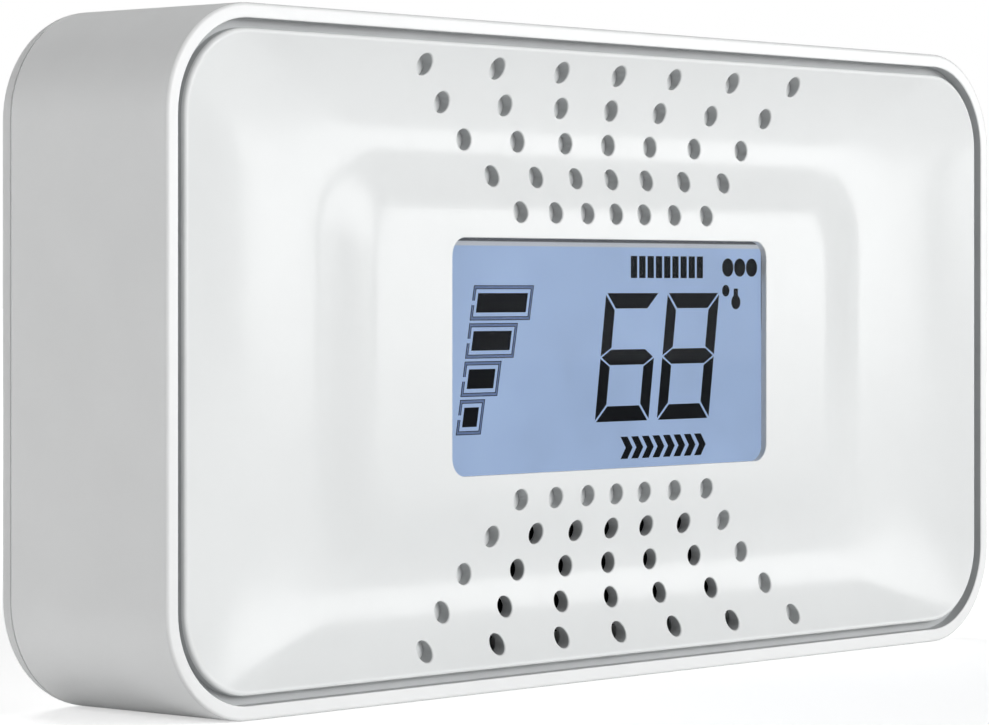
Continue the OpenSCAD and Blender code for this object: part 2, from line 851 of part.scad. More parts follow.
// Helical spring round the stem, as one swept tube
spring_turns = 3.5;
spring_sides = 8;
spring_steps = 12;
spring_mid_r = 2.5;
spring_wire_r = 0.25;
spring_z = [switch_top + 0.35, flange_z - 0.35];

function spring_point(i) =
    let (a = i * 360 / spring_steps, t = i / (spring_turns * spring_steps))
    [spring_mid_r * cos(a), spring_mid_r * sin(a), lerp(spring_z[0], spring_z[1], t)];
function spring_ring(i) =
    let (a = i * 360 / spring_steps, p = spring_point(i))
    [for (k = [0 : spring_sides - 1])
        let (b = k * 360 / spring_sides)
        p + spring_wire_r * [cos(b) * cos(a), cos(b) * sin(a), sin(b)]];

module button_spring() {
    steps = spring_turns * spring_steps;
    n = spring_sides;
    points = [for (i = [0 : steps]) each spring_ring(i)];
    sides = [for (i = [0 : steps - 1], k = [0 : n - 1])
        let (m = (k + 1) % n)
        each [[i * n + k, i * n + m, (i + 1) * n + k], [i * n + m, (i + 1) * n + m, (i + 1) * n + k]]];
    ends = [[for (k = [n - 1 : -1 : 0]) k], [for (k = [0 : n - 1]) steps * n + k]];
    color("silver") face() translate([0, button_y, 0])
        polyhedron(points = points, faces = concat(sides, ends));
}

module test_switch_body() {
    half_w = switch_size[0] / 2;
    color("black") face() difference() {
        block([-half_w, board_back + 0.02, switch_top - switch_size[2]],
            [half_w, board_back + switch_size[1], switch_top]);
        post(plunger_r + 0.1, [plunger_foot - button_travel - 0.5, switch_top + 1], [0, button_y]);
    }
}

module test_switch_plunger() {
    color("ivory") face() post(plunger_r, [plunger_foot, plunger_top], [0, button_y]);
}

// ---- Activation switch ----

slide_switch_d = board_back + 5;
lever_back = slide_switch_d + 4;
lever_w = 1.8;
slider_rest = slider_at[0] - slider_travel / 2;

// Knob in the recess, neck through the slot, plate inside the cover and a fork over the lever
module activation_slider() {
    knob_d = [body_d - slider_recess_d + 0.1, body_d - 0.15];
    plate_back = cover_in - slider_boss_t - gap;
    at = [slider_rest, slider_at[1]];
    grip_w = 0.6;
    color("lightgray") face() {
        difference() {
            slab(slider_knob, 0.8, knob_d, at);
            for (i = [-2 : 2])
                translate([at[0] + i * 1.2 - grip_w / 2, knob_d[1] - 0.4, at[1] - 2.6])
                    cube([grip_w, 1, 5.2]);
        }
        slab(slider_neck, 0.4, [plate_back - 0.1, knob_d[0] + 0.1], at);
        slab([slider_plate[0], slider_plate[1]], 0.5, [plate_back - slider_plate[2], plate_back], at);
        for (s = [-1, 1])
            block([at[0] + s * (lever_w / 2 + 0.75) - 0.6, lever_back - 2.6, at[1] - 1.6],
                [at[0] + s * (lever_w / 2 + 0.75) + 0.6, plate_back - 0.5, at[1] + 1.6]);
    }
}

module slide_switch_body() {
    half_l = 5.5;
    half_w = 2.4;
    color("silver") face() difference() {
        block([slider_at[0] - half_l, board_back + 0.02, slider_at[1] - half_w],
            [slider_at[0] + half_l, slide_switch_d, slider_at[1] + half_w]);
        block([slider_at[0] - half_l + 1, slide_switch_d - 2.2, slider_at[1] - 1.1],
            [slider_at[0] + half_l - 1, slide_switch_d + 1, slider_at[1] + 1.1]);
    }
}

module slide_switch_lever() {
    color("black") face()
        block([slider_rest - lever_w / 2, slide_switch_d - 2, slider_at[1] - 1],
            [slider_rest + lever_w / 2, lever_back, slider_at[1] + 1]);
}

housing();
rear_cover();
front_panel();
display_window();
display_polarizer();
display_front_glass();
display_segments();
display_bar_frames();
display_rear_glass();
display_reflector();
display_contact_strips();
backlight_guide();
backlight_leds();
display_frame();
circuit_board();
board_screws();
vent_dust_screen();
gas_duct_gasket();
co_sensor_body();
co_sensor_cap();
co_sensor_pins();
sounder_shell();
sounder_disc();
sounder_ceramic();
sounder_contacts();
sounder_lid();
battery_cell();
battery_cradle();
cradle_screws();
battery_tab_positive();
battery_tab_negative();
test_button();
button_spring();
test_switch_body();
test_switch_plunger();
activation_slider();
slide_switch_body();
slide_switch_lever();
microcontroller();
microcontroller_leads();
storage_capacitors();
step_up_coil();
temperature_sensor();
chip_resistors();
cover_screws();
rating_label();
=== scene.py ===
import math

import bmesh
import bpy
import numpy as np
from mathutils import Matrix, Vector
from mathutils.geometry import delaunay_2d_cdt


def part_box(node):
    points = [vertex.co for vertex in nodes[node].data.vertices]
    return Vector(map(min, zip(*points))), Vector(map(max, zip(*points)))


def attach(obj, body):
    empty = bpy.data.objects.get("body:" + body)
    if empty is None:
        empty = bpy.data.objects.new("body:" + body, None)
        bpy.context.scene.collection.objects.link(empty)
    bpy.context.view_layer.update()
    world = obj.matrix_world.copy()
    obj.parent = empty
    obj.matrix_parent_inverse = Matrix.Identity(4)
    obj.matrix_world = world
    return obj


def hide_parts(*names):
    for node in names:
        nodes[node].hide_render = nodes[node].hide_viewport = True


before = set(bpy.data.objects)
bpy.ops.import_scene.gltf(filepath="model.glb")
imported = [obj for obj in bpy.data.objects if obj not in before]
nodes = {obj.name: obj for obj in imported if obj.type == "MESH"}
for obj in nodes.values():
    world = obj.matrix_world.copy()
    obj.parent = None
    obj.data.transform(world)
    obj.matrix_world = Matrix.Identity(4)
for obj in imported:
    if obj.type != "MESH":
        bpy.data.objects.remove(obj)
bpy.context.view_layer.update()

# ---- Driving dimensions, in millimetres, taken from the frame wherever it has them ----
#
# Shapes are worked out in the face's own axes: x to the right, d the depth behind the front rim,
# z the height above the middle of the face.

MM = 0.001


def box_mm(node):
    """Low and high corner of a CAD node in the face's axes, in millimetres."""
    low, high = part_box(node)
    return (np.array(low) - ORIGIN) / MM, (np.array(high) - ORIGIN) / MM


housing_low, housing_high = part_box("housing")
ORIGIN = np.array([0.0, housing_low.y, (housing_low.z + housing_high.z) / 2])

HALF_BODY = box_mm("housing")[1][[0, 2]]
BACK = box_mm("rear_cover")[1][1]
COVER_DEPTH = 3.0
SEAM = BACK - COVER_DEPTH
CORNER_R = 12.0
WALL = 2.0
REAR_ROUND = 2.9
RIM_W = 1.6
RIM_OUTER_ROUND = 0.4
RIM_INNER_ROUND = 0.15
GROOVE_D = 1.5
LEDGE_T = 1.5
SEAT_W = 1.0

panel_low, panel_high = box_mm("front_panel")
HALF_PANEL = panel_high[[0, 2]]
PANEL_FRONT = panel_low[1]
PANEL_R = CORNER_R - (HALF_BODY[0] - HALF_PANEL[0])
PANEL_EDGE_ROUND = 0.6
VALLEY_HALF = np.array([50.0, 24.24])
VALLEY_R = 10.0
VALLEY_D = 2.85
PLATEAU_HALF = np.array([40.0, 15.0])
PLATEAU_R = 4.0
PLATEAU_D = 1.55
OUTER_POWER = 1.9

VENT_R = 1.2
VENT_ROUND = 0.16
VENT_COLUMNS = 3
VENT_ROWS = 5
VENT_FIRST = 16.27
VENT_PITCH = 4.0
VENT_LEAN = 0.3035
VENT_SPREAD = 0.0145
VENT_BLIND_D = 1.4

window_low, window_high = box_mm("display_window")
OPENING_HALF = window_high[[0, 2]] - np.array([1.2, 1.0])
OPENING_R = 2.1
OPENING_ROUND = 0.12
LIP_BACK = window_low[1]

CORNER_STEPS = 20
ROUND_STEPS = 6
VENT_STEPS = 28


# ---- Mesh helpers ----


def to_row(points):
    """Face-axis millimetres to row-frame metres."""
    return np.asarray(points, float) * MM + ORIGIN


def rounded_rect(half, r, steps=CORNER_STEPS, runs=(1, 1)):
    """Counter-clockwise outline of a rectangle with round corners, as x and z pairs.
    runs says into how many parts the level and the upright straight stretches are divided."""
    points = []
    for turn, (sx, sz) in enumerate([(1, 1), (-1, 1), (-1, -1), (1, -1)]):
        for i in range(steps + 1):
            a = math.radians(90 * (turn + i / steps))
            points.append((sx * (half[0] - r) + r * math.cos(a), sz * (half[1] - r) + r * math.sin(a)))
        run = runs[turn % 2]
        step = np.array([(-2, 0), (0, -2), (2, 0), (0, 2)][turn]) * (np.asarray(half) - r) / run
        points.extend(np.array(points[-1]) + step * (np.arange(1, run)[:, None]))
    return np.array(points)


def circle(r, steps, centre=(0.0, 0.0)):
    a = np.arange(steps) * 2 * math.pi / steps
    return np.stack([centre[0] + r * np.cos(a), centre[1] + r * np.sin(a)], axis=1)


def at_depth(outline, d):
    """Outline in x and z placed at one depth, or at one depth for each of its points."""
    return np.stack([outline[:, 0], np.broadcast_to(d, len(outline)), outline[:, 1]], axis=1)


def quarter(r, steps=ROUND_STEPS):
    """Pairs (inset, drop) along a quarter round, from its flat side to its upright side."""
    for i in range(steps + 1):
        a = math.pi / 2 * i / steps
        yield r * (1 - math.sin(a)), r * (1 - math.cos(a))


class Builder:
    """Collects rings of points with optional normals, and the faces between them."""

    def __init__(self):
        self.points, self.normals, self.faces, self.looks = [], [], [], []

    def ring(self, points, normals=None):
        start = len(self.points)
        self.points.extend(map(tuple, points))
        self.normals.extend(map(tuple, np.zeros((len(points), 3)) if normals is None else normals))
        return np.arange(start, start + len(points))

    def face(self, indices, look=0):
        self.faces.append([int(i) for i in indices])
        self.looks.append(look)

    def strip(self, a, b, look=0):
        """Quads between two rings of the same length."""
        for i in range(len(a)):
            j = (i + 1) % len(a)
            self.face((a[i], a[j], b[j], b[i]), look)

    def stack(self, rings, look=0):
        """Strips between rings given as point arrays."""
        made = [self.ring(r) for r in rings]
        for a, b in zip(made, made[1:]):
            self.strip(a, b, look)
        return made

    def solid(self, rings, look=0):
        """Stack closed by a flat face at each end."""
        made = self.stack(rings, look)
        self.face(made[0][::-1], look)
        self.face(made[-1], look)

    def piece(self, name, materials, outward=True):
        mesh = bpy.data.meshes.new(name)
        mesh.from_pydata([tuple(p) for p in to_row(self.points)], [], self.faces)
        for material in materials:
            mesh.materials.append(material)
        mesh.polygons.foreach_set("material_index", self.looks)
        mesh.polygons.foreach_set("use_smooth", [True] * len(self.faces))
        if outward:
            turn_outward(mesh)
        mesh.update()
        obj = bpy.data.objects.new(name, mesh)
        bpy.context.scene.collection.objects.link(obj)
        return obj


def turn_outward(mesh):
    bm = bmesh.new()
    bm.from_mesh(mesh)
    bmesh.ops.recalc_face_normals(bm, faces=bm.faces)
    bm.to_mesh(mesh)
    bm.free()


def flared(outline, levels):
    """Solid whose outline grows or shrinks with depth.
    outline(offset) gives the points, and levels the pairs of depth and offset."""
    tool = Builder()
    tool.solid([at_depth(outline(offset), d) for d, offset in levels])
    return tool.piece("tool", [])


def cut(piece, tools):
    """Takes the tools' volumes out of a piece and keeps the result as its mesh."""
    for tool in tools:
        step = piece.modifiers.new("cut", "BOOLEAN")
        step.operation, step.solver, step.object = "DIFFERENCE", "EXACT", tool
    graph = bpy.context.evaluated_depsgraph_get()
    mesh = bpy.data.meshes.new_from_object(piece.evaluated_get(graph))
    piece.modifiers.clear()
    piece.data = mesh
    for tool in tools:
        bpy.data.objects.remove(tool)


def finish_edges(piece, angle=35):
    """Splits the shading at sharp edges, and lets the large faces rule the normals elsewhere."""
    piece.data.set_sharp_from_angle(angle=math.radians(angle))
    weigh = piece.modifiers.new("normals", "WEIGHTED_NORMAL")
    weigh.keep_sharp = True
    weigh.weight = 90


def soften(piece, width, angle=50):
    """Small rounds on the sharp edges of a CAD node."""
    bevel = piece.modifiers.new("rounds", "BEVEL")
    bevel.width = width * MM
    bevel.segments = 2
    bevel.limit_method = "ANGLE"
    bevel.angle_limit = math.radians(angle)
    bevel.harden_normals = True


# ---- Materials ----


def srgb(*levels):
    """Linear colour of three sRGB levels from 0 to 255."""
    return tuple(((v / 255 + 0.055) / 1.055) ** 2.4 if v > 10 else v / 255 / 12.92 for v in levels)


class Shader:
    """A node material with patches of colour, uneven roughness and a fine bump, all in the row frame."""

    def __init__(self, name):
        self.material = bpy.data.materials.new(name)
        self.material.use_nodes = True
        self.tree = self.material.node_tree
        self.bsdf = self.tree.nodes["Principled BSDF"]
        self.coords = self.add("ShaderNodeTexCoord").outputs["Object"]

    def add(self, kind, **inputs):
        node = self.tree.nodes.new(kind)
        for name, value in inputs.items():
            self.feed(node.inputs[name.replace("_", " ")], value)
        return node

    def feed(self, socket, value):
        if isinstance(value, bpy.types.NodeSocket):
            self.tree.links.new(value, socket)
        else:
            socket.default_value = value

    def noise(self, size, detail=3.0, stretch=(1.0, 1.0, 1.0)):
        """Noise whose features are about size millimetres across."""
        mapping = self.add("ShaderNodeMapping", Vector=self.coords, Scale=stretch)
        return self.add("ShaderNodeTexNoise", Vector=mapping.outputs[0], Scale=1 / (size * MM),
                        Detail=detail).outputs[0]

    def spread(self, value, low, high):
        """Maps noise, which stays near its middle, to low..high."""
        node = self.add("ShaderNodeMapRange", Value=value)
        node.inputs["From Min"].default_value, node.inputs["From Max"].default_value = 0.3, 0.7
        node.inputs["To Min"].default_value, node.inputs["To Max"].default_value = low, high
        return node.outputs[0]

    def blend(self, factor, a, b):
        node = self.add("ShaderNodeMix")
        node.data_type = "RGBA"
        self.feed(node.inputs["Factor"], factor)
        for socket, colour in zip((node.inputs[6], node.inputs[7]), (a, b)):
            self.feed(socket, colour if isinstance(colour, bpy.types.NodeSocket) else (*colour, 1.0))
        return node.outputs[2]

    def bump(self, heights, depth, strength=1.0):
        """Bump from a 0..1 height whose full swing is depth millimetres."""
        node = self.add("ShaderNodeBump", Height=heights, Strength=strength, Distance=depth * MM)
        self.feed(self.bsdf.inputs["Normal"], node.outputs[0])


def plastic(name, colour, rough, vary=0.02, patch=9.0, grain=0.35, grain_depth=0.004, specular=0.5):
    """Moulded plastic: faint flow patches, slightly uneven gloss and a fine skin."""
    s = Shader(name)
    dark = [c * (1 - vary) for c in colour]
    light = [min(1.0, c * (1 + vary)) for c in colour]
    s.feed(s.bsdf.inputs["Base Color"], s.blend(s.spread(s.noise(patch), 0, 1), dark, light))
    s.feed(s.bsdf.inputs["Roughness"], s.spread(s.noise(patch / 3), rough * 0.85, rough * 1.15))
    s.feed(s.bsdf.inputs["Specular IOR Level"], specular)
    s.bump(s.noise(grain, detail=2.0), grain_depth)
    return s.material


def metal(name, colour, rough, stretch=(1.0, 1.0, 1.0), grain=0.3, grain_depth=0.004):
    """Plated or drawn metal with fine streaks along the short side of stretch."""
    s = Shader(name)
    s.feed(s.bsdf.inputs["Metallic"], 1.0)
    streaks = s.noise(grain, detail=4.0, stretch=stretch)
    s.feed(s.bsdf.inputs["Base Color"],
           s.blend(s.spread(streaks, 0, 1), [c * 0.85 for c in colour], [min(1.0, c * 1.1) for c in colour]))
    s.feed(s.bsdf.inputs["Roughness"], s.spread(s.noise(2.0), rough * 0.7, rough * 1.3))
    s.bump(streaks, grain_depth)
    return s.material


def clear(name, tint, gloss, rough=0.02):
    """Thin clear sheet: light goes straight through it, and it keeps a faint reflection."""
    s = Shader(name)
    tree = s.tree
    tree.nodes.remove(s.bsdf)
    shade = s.blend(s.spread(s.noise(12.0), 0, 1), [c * 0.985 for c in tint], tint)
    through = s.add("ShaderNodeBsdfTransparent", Color=shade)
    mirror = s.add("ShaderNodeBsdfGlossy", Roughness=s.spread(s.noise(4.0), rough * 0.6, rough * 1.4))
    facing = s.add("ShaderNodeFresnel", IOR=1.0 + gloss)
    mix = s.add("ShaderNodeMixShader", Fac=facing.outputs[0])
    tree.links.new(through.outputs[0], mix.inputs[1])
    tree.links.new(mirror.outputs[0], mix.inputs[2])
    tree.links.new(mix.outputs[0], tree.nodes["Material Output"].inputs["Surface"])
    return s.material


# Softness of the edges of the painted light and shade bands on the display field.
PAINTED_BAND_BLUR = 0.06


def lit_field(name, colour, glow, painted_bands=()):
    """Part of the display that its backlight shines through: slightly uneven, and finely mottled.
    The pairs given last each hold a height above the middle of the face, from which the colour is another:
    painted bands of light and shade, which glow with the field."""
    s = Shader(name)
    broad = s.spread(s.noise(24.0), 0, 1)
    shade = s.blend(broad, [c * 0.97 for c in colour], [c * 1.03 for c in colour])
    # Each pair paints a band of light or shade over the field, glowing with it.
    for start, other in painted_bands:
        height = s.add("ShaderNodeSeparateXYZ", Vector=s.coords).outputs["Z"]
        above = s.add("ShaderNodeMapRange", Value=height)
        above.inputs["From Min"].default_value = (start - PAINTED_BAND_BLUR) * MM + ORIGIN[2]
        above.inputs["From Max"].default_value = (start + PAINTED_BAND_BLUR) * MM + ORIGIN[2]
        shade = s.blend(above.outputs[0], shade, other)
    fine = s.blend(s.spread(s.noise(0.25, detail=1.0), 0, 1), [0.985] * 3, [1.0] * 3)
    mix = s.add("ShaderNodeMix")
    mix.data_type, mix.blend_type = "RGBA", "MULTIPLY"
    s.feed(mix.inputs["Factor"], 1.0)
    s.feed(mix.inputs[6], shade)
    s.feed(mix.inputs[7], fine)
    s.feed(s.bsdf.inputs["Base Color"], mix.outputs[2])
    s.feed(s.bsdf.inputs["Emission Color"], mix.outputs[2])
    s.feed(s.bsdf.inputs["Emission Strength"], glow)
    s.feed(s.bsdf.inputs["Roughness"], s.spread(s.noise(3.0), 0.45, 0.6))
    s.bump(s.noise(0.3), 0.002)
    return s.material


def woven(name, colour, pitch):
    """Fine mesh cloth: two crossed sets of threads."""
    s = Shader(name)
    bands = []
    for axis in ("X", "Z"):
        wave = s.add("ShaderNodeTexWave", Vector=s.coords, Scale=0.314 / (pitch * MM))
        wave.wave_profile, wave.bands_direction = "SIN", axis
        bands.append(wave.outputs[1])
    cross = s.add("ShaderNodeMath")
    cross.operation = "MULTIPLY"
    for socket, band in zip(cross.inputs, bands):
        s.feed(socket, band)
    s.feed(s.bsdf.inputs["Base Color"],
           s.blend(cross.outputs[0], [c * 0.5 for c in colour], [c * 1.8 for c in colour]))
    s.feed(s.bsdf.inputs["Roughness"], s.spread(s.noise(1.0), 0.8, 0.95))
    s.bump(cross.outputs[0], 0.05)
    return s.material


def board(name, mask, track):
    """Solder mask over copper tracks, which show as lighter straight-edged islands."""
    s = Shader(name)
    cells = s.add("ShaderNodeTexVoronoi", Vector=s.coords, Scale=1 / (3.2 * MM))
    cells.distance = "CHEBYCHEV"
    edge = s.spread(cells.outputs["Distance"], 0, 1)
    s.feed(s.bsdf.inputs["Base Color"], s.blend(edge, mask, track))
    s.feed(s.bsdf.inputs["Roughness"], s.spread(s.noise(2.0), 0.25, 0.4))
    s.bump(edge, 0.03)
    return s.material


def ribbed(name, colour, rough, pitch, axis, depth):
    """Rubber or plastic with even ribs across one axis."""
    s = Shader(name)
    wave = s.add("ShaderNodeTexWave", Vector=s.coords, Scale=0.314 / (pitch * MM))
    wave.bands_direction = axis
    s.feed(s.bsdf.inputs["Base Color"],
           s.blend(wave.outputs[1], [c * 0.6 for c in colour], [c * 1.4 for c in colour]))
    s.feed(s.bsdf.inputs["Roughness"], s.spread(s.noise(1.5), rough * 0.9, min(1.0, rough * 1.1)))
    s.bump(wave.outputs[1], depth)
    return s.material


CASE_WHITE = srgb(245, 246, 246)
PANEL_WHITE = srgb(235, 237, 237)
WHITE_SATIN = srgb(232, 233, 233)
# Painted shade: a darker white for the groove round the panel, the panel's side in it and the vent walls,
# standing in for the shade that falls there.
SHADE_PAINTED_WHITE = srgb(194, 196, 197)
DISPLAY_BLUE = srgb(158, 177, 206)
DISPLAY_GLOW = 1.2
# Painted light and shade along the top of the display field: a glowing pale strip stands in for a lit frame,
# and above it a dark band is painted as the shadow of the opening's lip.
PAINTED_LIT_STRIP = srgb(182, 184, 188)
PAINTED_LIP_SHADOW = srgb(88, 89, 92)
PAINTED_LIT_STRIP_FROM = 12.45
PAINTED_LIP_SHADOW_FROM = 12.95

rim_look = plastic("case_white_polished", CASE_WHITE, 0.2, vary=0.008)
case_look = plastic("case_white", CASE_WHITE, 0.5, vary=0.012, grain=0.25, grain_depth=0.012)
cover_look = plastic("cover_white", WHITE_SATIN, 0.5, vary=0.015, grain=0.25, grain_depth=0.014)
panel_look = plastic("panel_white", PANEL_WHITE, 0.16, vary=0.008, grain=0.6, grain_depth=0.0015)
button_look = plastic("button_white", WHITE_SATIN, 0.4, vary=0.015, grain_depth=0.01)
frame_look = plastic("panel_back", PANEL_WHITE, 0.45, vary=0.02)
# Painted shade for the walls of the groove and the vents.
shade_painted_look = plastic("white_painted_shade", SHADE_PAINTED_WHITE, 0.5, vary=0.03)
slider_look = plastic("slider_grey", (0.35, 0.36, 0.37), 0.4, vary=0.05)
black_look = plastic("switch_black", (0.025, 0.025, 0.026), 0.45, vary=0.15)
screw_look = metal("screw_steel", (0.62, 0.62, 0.6), 0.32, stretch=(1, 1, 4))
lead_look = metal("tinned_metal", (0.75, 0.75, 0.72), 0.3)
nickel_look = metal("nickel_strip", (0.66, 0.64, 0.6), 0.28, stretch=(1, 1, 8))
chip_look = plastic("chip_black", (0.03, 0.03, 0.033), 0.55, vary=0.1, grain=0.12, grain_depth=0.01)
sounder_look = plastic("sounder_black", (0.03, 0.03, 0.03), 0.5, vary=0.12)

LOOKS = {
    "display_window": clear("window_clear", (0.975, 0.98, 0.985), gloss=0.06),
    "display_polarizer": clear("polarizer_film", (0.94, 0.95, 0.965), gloss=0.01),
    "display_front_glass": clear("cell_glass", (0.98, 0.985, 0.99), gloss=0.01),
    "display_segments": lit_field("segment_black", srgb(21, 22, 24), DISPLAY_GLOW),
    "display_bar_frames": lit_field("segment_tint", srgb(96, 111, 142), DISPLAY_GLOW),
    # Its field carries the painted pale strip and the painted lip shadow along its top.
    "display_rear_glass": lit_field("cell_blue", DISPLAY_BLUE, DISPLAY_GLOW,
                                    [(PAINTED_LIT_STRIP_FROM, PAINTED_LIT_STRIP), (PAINTED_LIP_SHADOW_FROM, PAINTED_LIP_SHADOW)]),
    "display_reflector": metal("reflector_film", (0.8, 0.8, 0.82), 0.4),
    "display_contact_strips": ribbed("strip_rubber", (0.06, 0.06, 0.065), 0.8, 0.2, "X", 0.02),
    "backlight_guide": plastic("light_guide", (0.86, 0.88, 0.9), 0.3, grain=0.5, grain_depth=0.02),
    "backlight_leds": plastic("led_resin", (0.8, 0.72, 0.35), 0.2, vary=0.06),
    "display_frame": plastic("frame_white", (0.72, 0.72, 0.7), 0.5),
    "circuit_board": board("board_green", (0.012, 0.09, 0.035), (0.03, 0.2, 0.08)),
    "board_screws": screw_look,
    "vent_dust_screen": woven("screen_black", (0.012, 0.012, 0.012), 0.25),
    "gas_duct_gasket": plastic("foam_grey", (0.08, 0.08, 0.08), 0.9, vary=0.2, grain=0.3, grain_depth=0.08),
    "co_sensor_body": metal("sensor_can", (0.72, 0.73, 0.73), 0.35, stretch=(1, 6, 1)),
    "co_sensor_cap": plastic("sensor_cap", (0.03, 0.045, 0.045), 0.5, vary=0.1),
    "co_sensor_pins": metal("gold_pin", (0.85, 0.62, 0.25), 0.25),
    "sounder_shell": sounder_look,
    "sounder_disc": metal("sounder_brass", (0.72, 0.53, 0.24), 0.35),
    "sounder_ceramic": plastic("ceramic_grey", (0.68, 0.66, 0.58), 0.6, vary=0.05),
    "sounder_contacts": metal("contact_metal", (0.7, 0.68, 0.6), 0.3),
    "sounder_lid": sounder_look,
    "battery_cell": plastic("cell_sleeve", (0.5, 0.12, 0.015), 0.25, vary=0.06, grain=0.8),
    "battery_cradle": plastic("cradle_grey", (0.05, 0.05, 0.052), 0.5, vary=0.1),
    "cradle_screws": screw_look,
    "battery_tab_positive": nickel_look,
    "battery_tab_negative": nickel_look,
    "button_spring": metal("spring_steel", (0.5, 0.5, 0.5), 0.25),
    "test_switch_body": black_look,
    "test_switch_plunger": plastic("plunger_ivory", (0.7, 0.66, 0.52), 0.4),
    "activation_slider": slider_look,
    "slide_switch_body": metal("switch_steel", (0.65, 0.65, 0.63), 0.35, stretch=(6, 1, 1)),
    "slide_switch_lever": black_look,
    "microcontroller": chip_look,
    "microcontroller_leads": lead_look,
    "storage_capacitors": plastic("capacitor_sleeve", (0.02, 0.03, 0.07), 0.25, vary=0.1),
    "step_up_coil": plastic("coil_ferrite", (0.06, 0.06, 0.06), 0.7, vary=0.2, grain_depth=0.02),
    "temperature_sensor": plastic("bead_brown", (0.12, 0.045, 0.015), 0.25, vary=0.15),
    "chip_resistors": chip_look,
    "cover_screws": screw_look,
    "rating_label": plastic("label_silver", (0.6, 0.61, 0.62), 0.3, vary=0.02, grain=0.15, grain_depth=0.003),
}
for node, look in LOOKS.items():
    nodes[node].data.materials.clear()
    nodes[node].data.materials.append(look)

for node, width in {"cover_screws": 0.12, "activation_slider": 0.15, "rating_label": 0.05}.items():
    soften(nodes[node], width)


# ---- Case: a ring swept round the outline, with the rim, the groove and the seat inside it ----


def body_outline(inset):
    return rounded_rect(HALF_BODY - inset, CORNER_R - inset)


def body_ring(inset, d):
    return at_depth(body_outline(inset), d)


SEAM_CHAMFER = 0.12
# The third look is painted shade, on the groove's floor and walls.
RIM_LOOK, SIDE_LOOK, SHADE_PAINTED_LOOK = 0, 1, 2

case = Builder()
rim_round = [body_ring(inset, drop) for inset, drop in quarter(RIM_OUTER_ROUND)]
side = [body_ring(0, SEAM - SEAM_CHAMFER), body_ring(SEAM_CHAMFER, SEAM), body_ring(WALL, SEAM)]
inside = [body_ring(WALL, GROOVE_D + LEDGE_T)]
panel_line = HALF_BODY[0] - HALF_PANEL[0]
seat_line = panel_line + SEAT_W
ledge = [body_ring(seat_line, GROOVE_D + LEDGE_T), body_ring(seat_line, GROOVE_D)]
lip = [body_ring(RIM_W - inset, drop) for inset, drop in reversed(list(quarter(RIM_INNER_ROUND)))]
case.stack(lip + rim_round, RIM_LOOK)
case.stack([rim_round[-1]] + side + inside + ledge, SIDE_LOOK)
# Groove floor and the lip's inner wall get painted shade.
case.stack([ledge[-1], body_ring(RIM_W, GROOVE_D), lip[0]], SHADE_PAINTED_LOOK)
housing = case.piece("case_shell", [rim_look, case_look, shade_painted_look], outward=False)

# The stacks above share their end rings, so the doubles are merged before the normals are found.
bm = bmesh.new()
bm.from_mesh(housing.data)
bmesh.ops.remove_doubles(bm, verts=bm.verts, dist=0.001 * MM)
bmesh.ops.recalc_face_normals(bm, faces=bm.faces)
bm.to_mesh(housing.data)
bm.free()

BUTTON_GAP = 0.2
BUTTON_CHAMFER = 0.3
button_low, button_high = box_mm("test_button")
BUTTON_D = (button_low[1] + button_high[1]) / 2
FLANGE_W = 1.5                                      # how far the flange under the top stands out all round
BUTTON_HALF_W = button_high[1] - BUTTON_D - FLANGE_W
BUTTON_HALF_L = button_high[0] - FLANGE_W
TOP = HALF_BODY[1]


def stadium_at(z, grow):
    """Outline of the button, grown on all sides, at a height."""
    half = np.array([BUTTON_HALF_L, BUTTON_HALF_W]) + grow
    flat = rounded_rect(half, half[1] - 1e-4)
    return np.stack([flat[:, 0], BUTTON_D - flat[:, 1], np.full(len(flat), z)], axis=1)


hole = Builder()
hole.solid([stadium_at(TOP - 2 * WALL, BUTTON_GAP), stadium_at(TOP - BUTTON_CHAMFER, BUTTON_GAP),
            stadium_at(TOP + BUTTON_CHAMFER, BUTTON_GAP + 2 * BUTTON_CHAMFER)])
cut(housing, [hole.piece("tool", [])])
finish_edges(housing)
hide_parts("housing")
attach(housing, "case")


# ---- Rear cover: a shallow cup with a rounded rear edge, and the holes and recesses in its back ----

KEYHOLE_X = 40.0
KEYHOLE_Z = 8.0
KEYHOLE_ENTRY_R = 4.0
KEYHOLE_SLOT_R = 2.1
KEYHOLE_SLOT_L = 8.0
SCREW_OUT = 4.24                                    # from a corner's middle to its screw, on both axes
SCREW_AT = HALF_BODY - CORNER_R + SCREW_OUT
SCREW_HEAD_R = 2.6
SCREW_HOLE_R = 1.5
SCREW_SEAT = 1.2
RECESS_D = 1.4
RECESS_MARGIN = 0.3
SLIDER_TRAVEL = 4.0
LABEL_RECESS = 0.2
LABEL_GAP = 0.2
EDGE_CHAMFER = 0.25
SEAM_GAP = 0.02
REAR_STEPS = 12
NECK = (3.4, 4.0)
NECK_GAP = 0.2

cup = Builder()
back_round = [body_ring(inset, BACK - drop) for inset, drop in quarter(REAR_ROUND, REAR_STEPS)]
inner_back = BACK - WALL
front_edge = [body_ring(SEAM_CHAMFER, SEAM + SEAM_GAP), body_ring(WALL, SEAM + SEAM_GAP)]
cup.solid(back_round + front_edge + [body_ring(WALL, inner_back)])
cover = cup.piece("rear_shell", [cover_look])


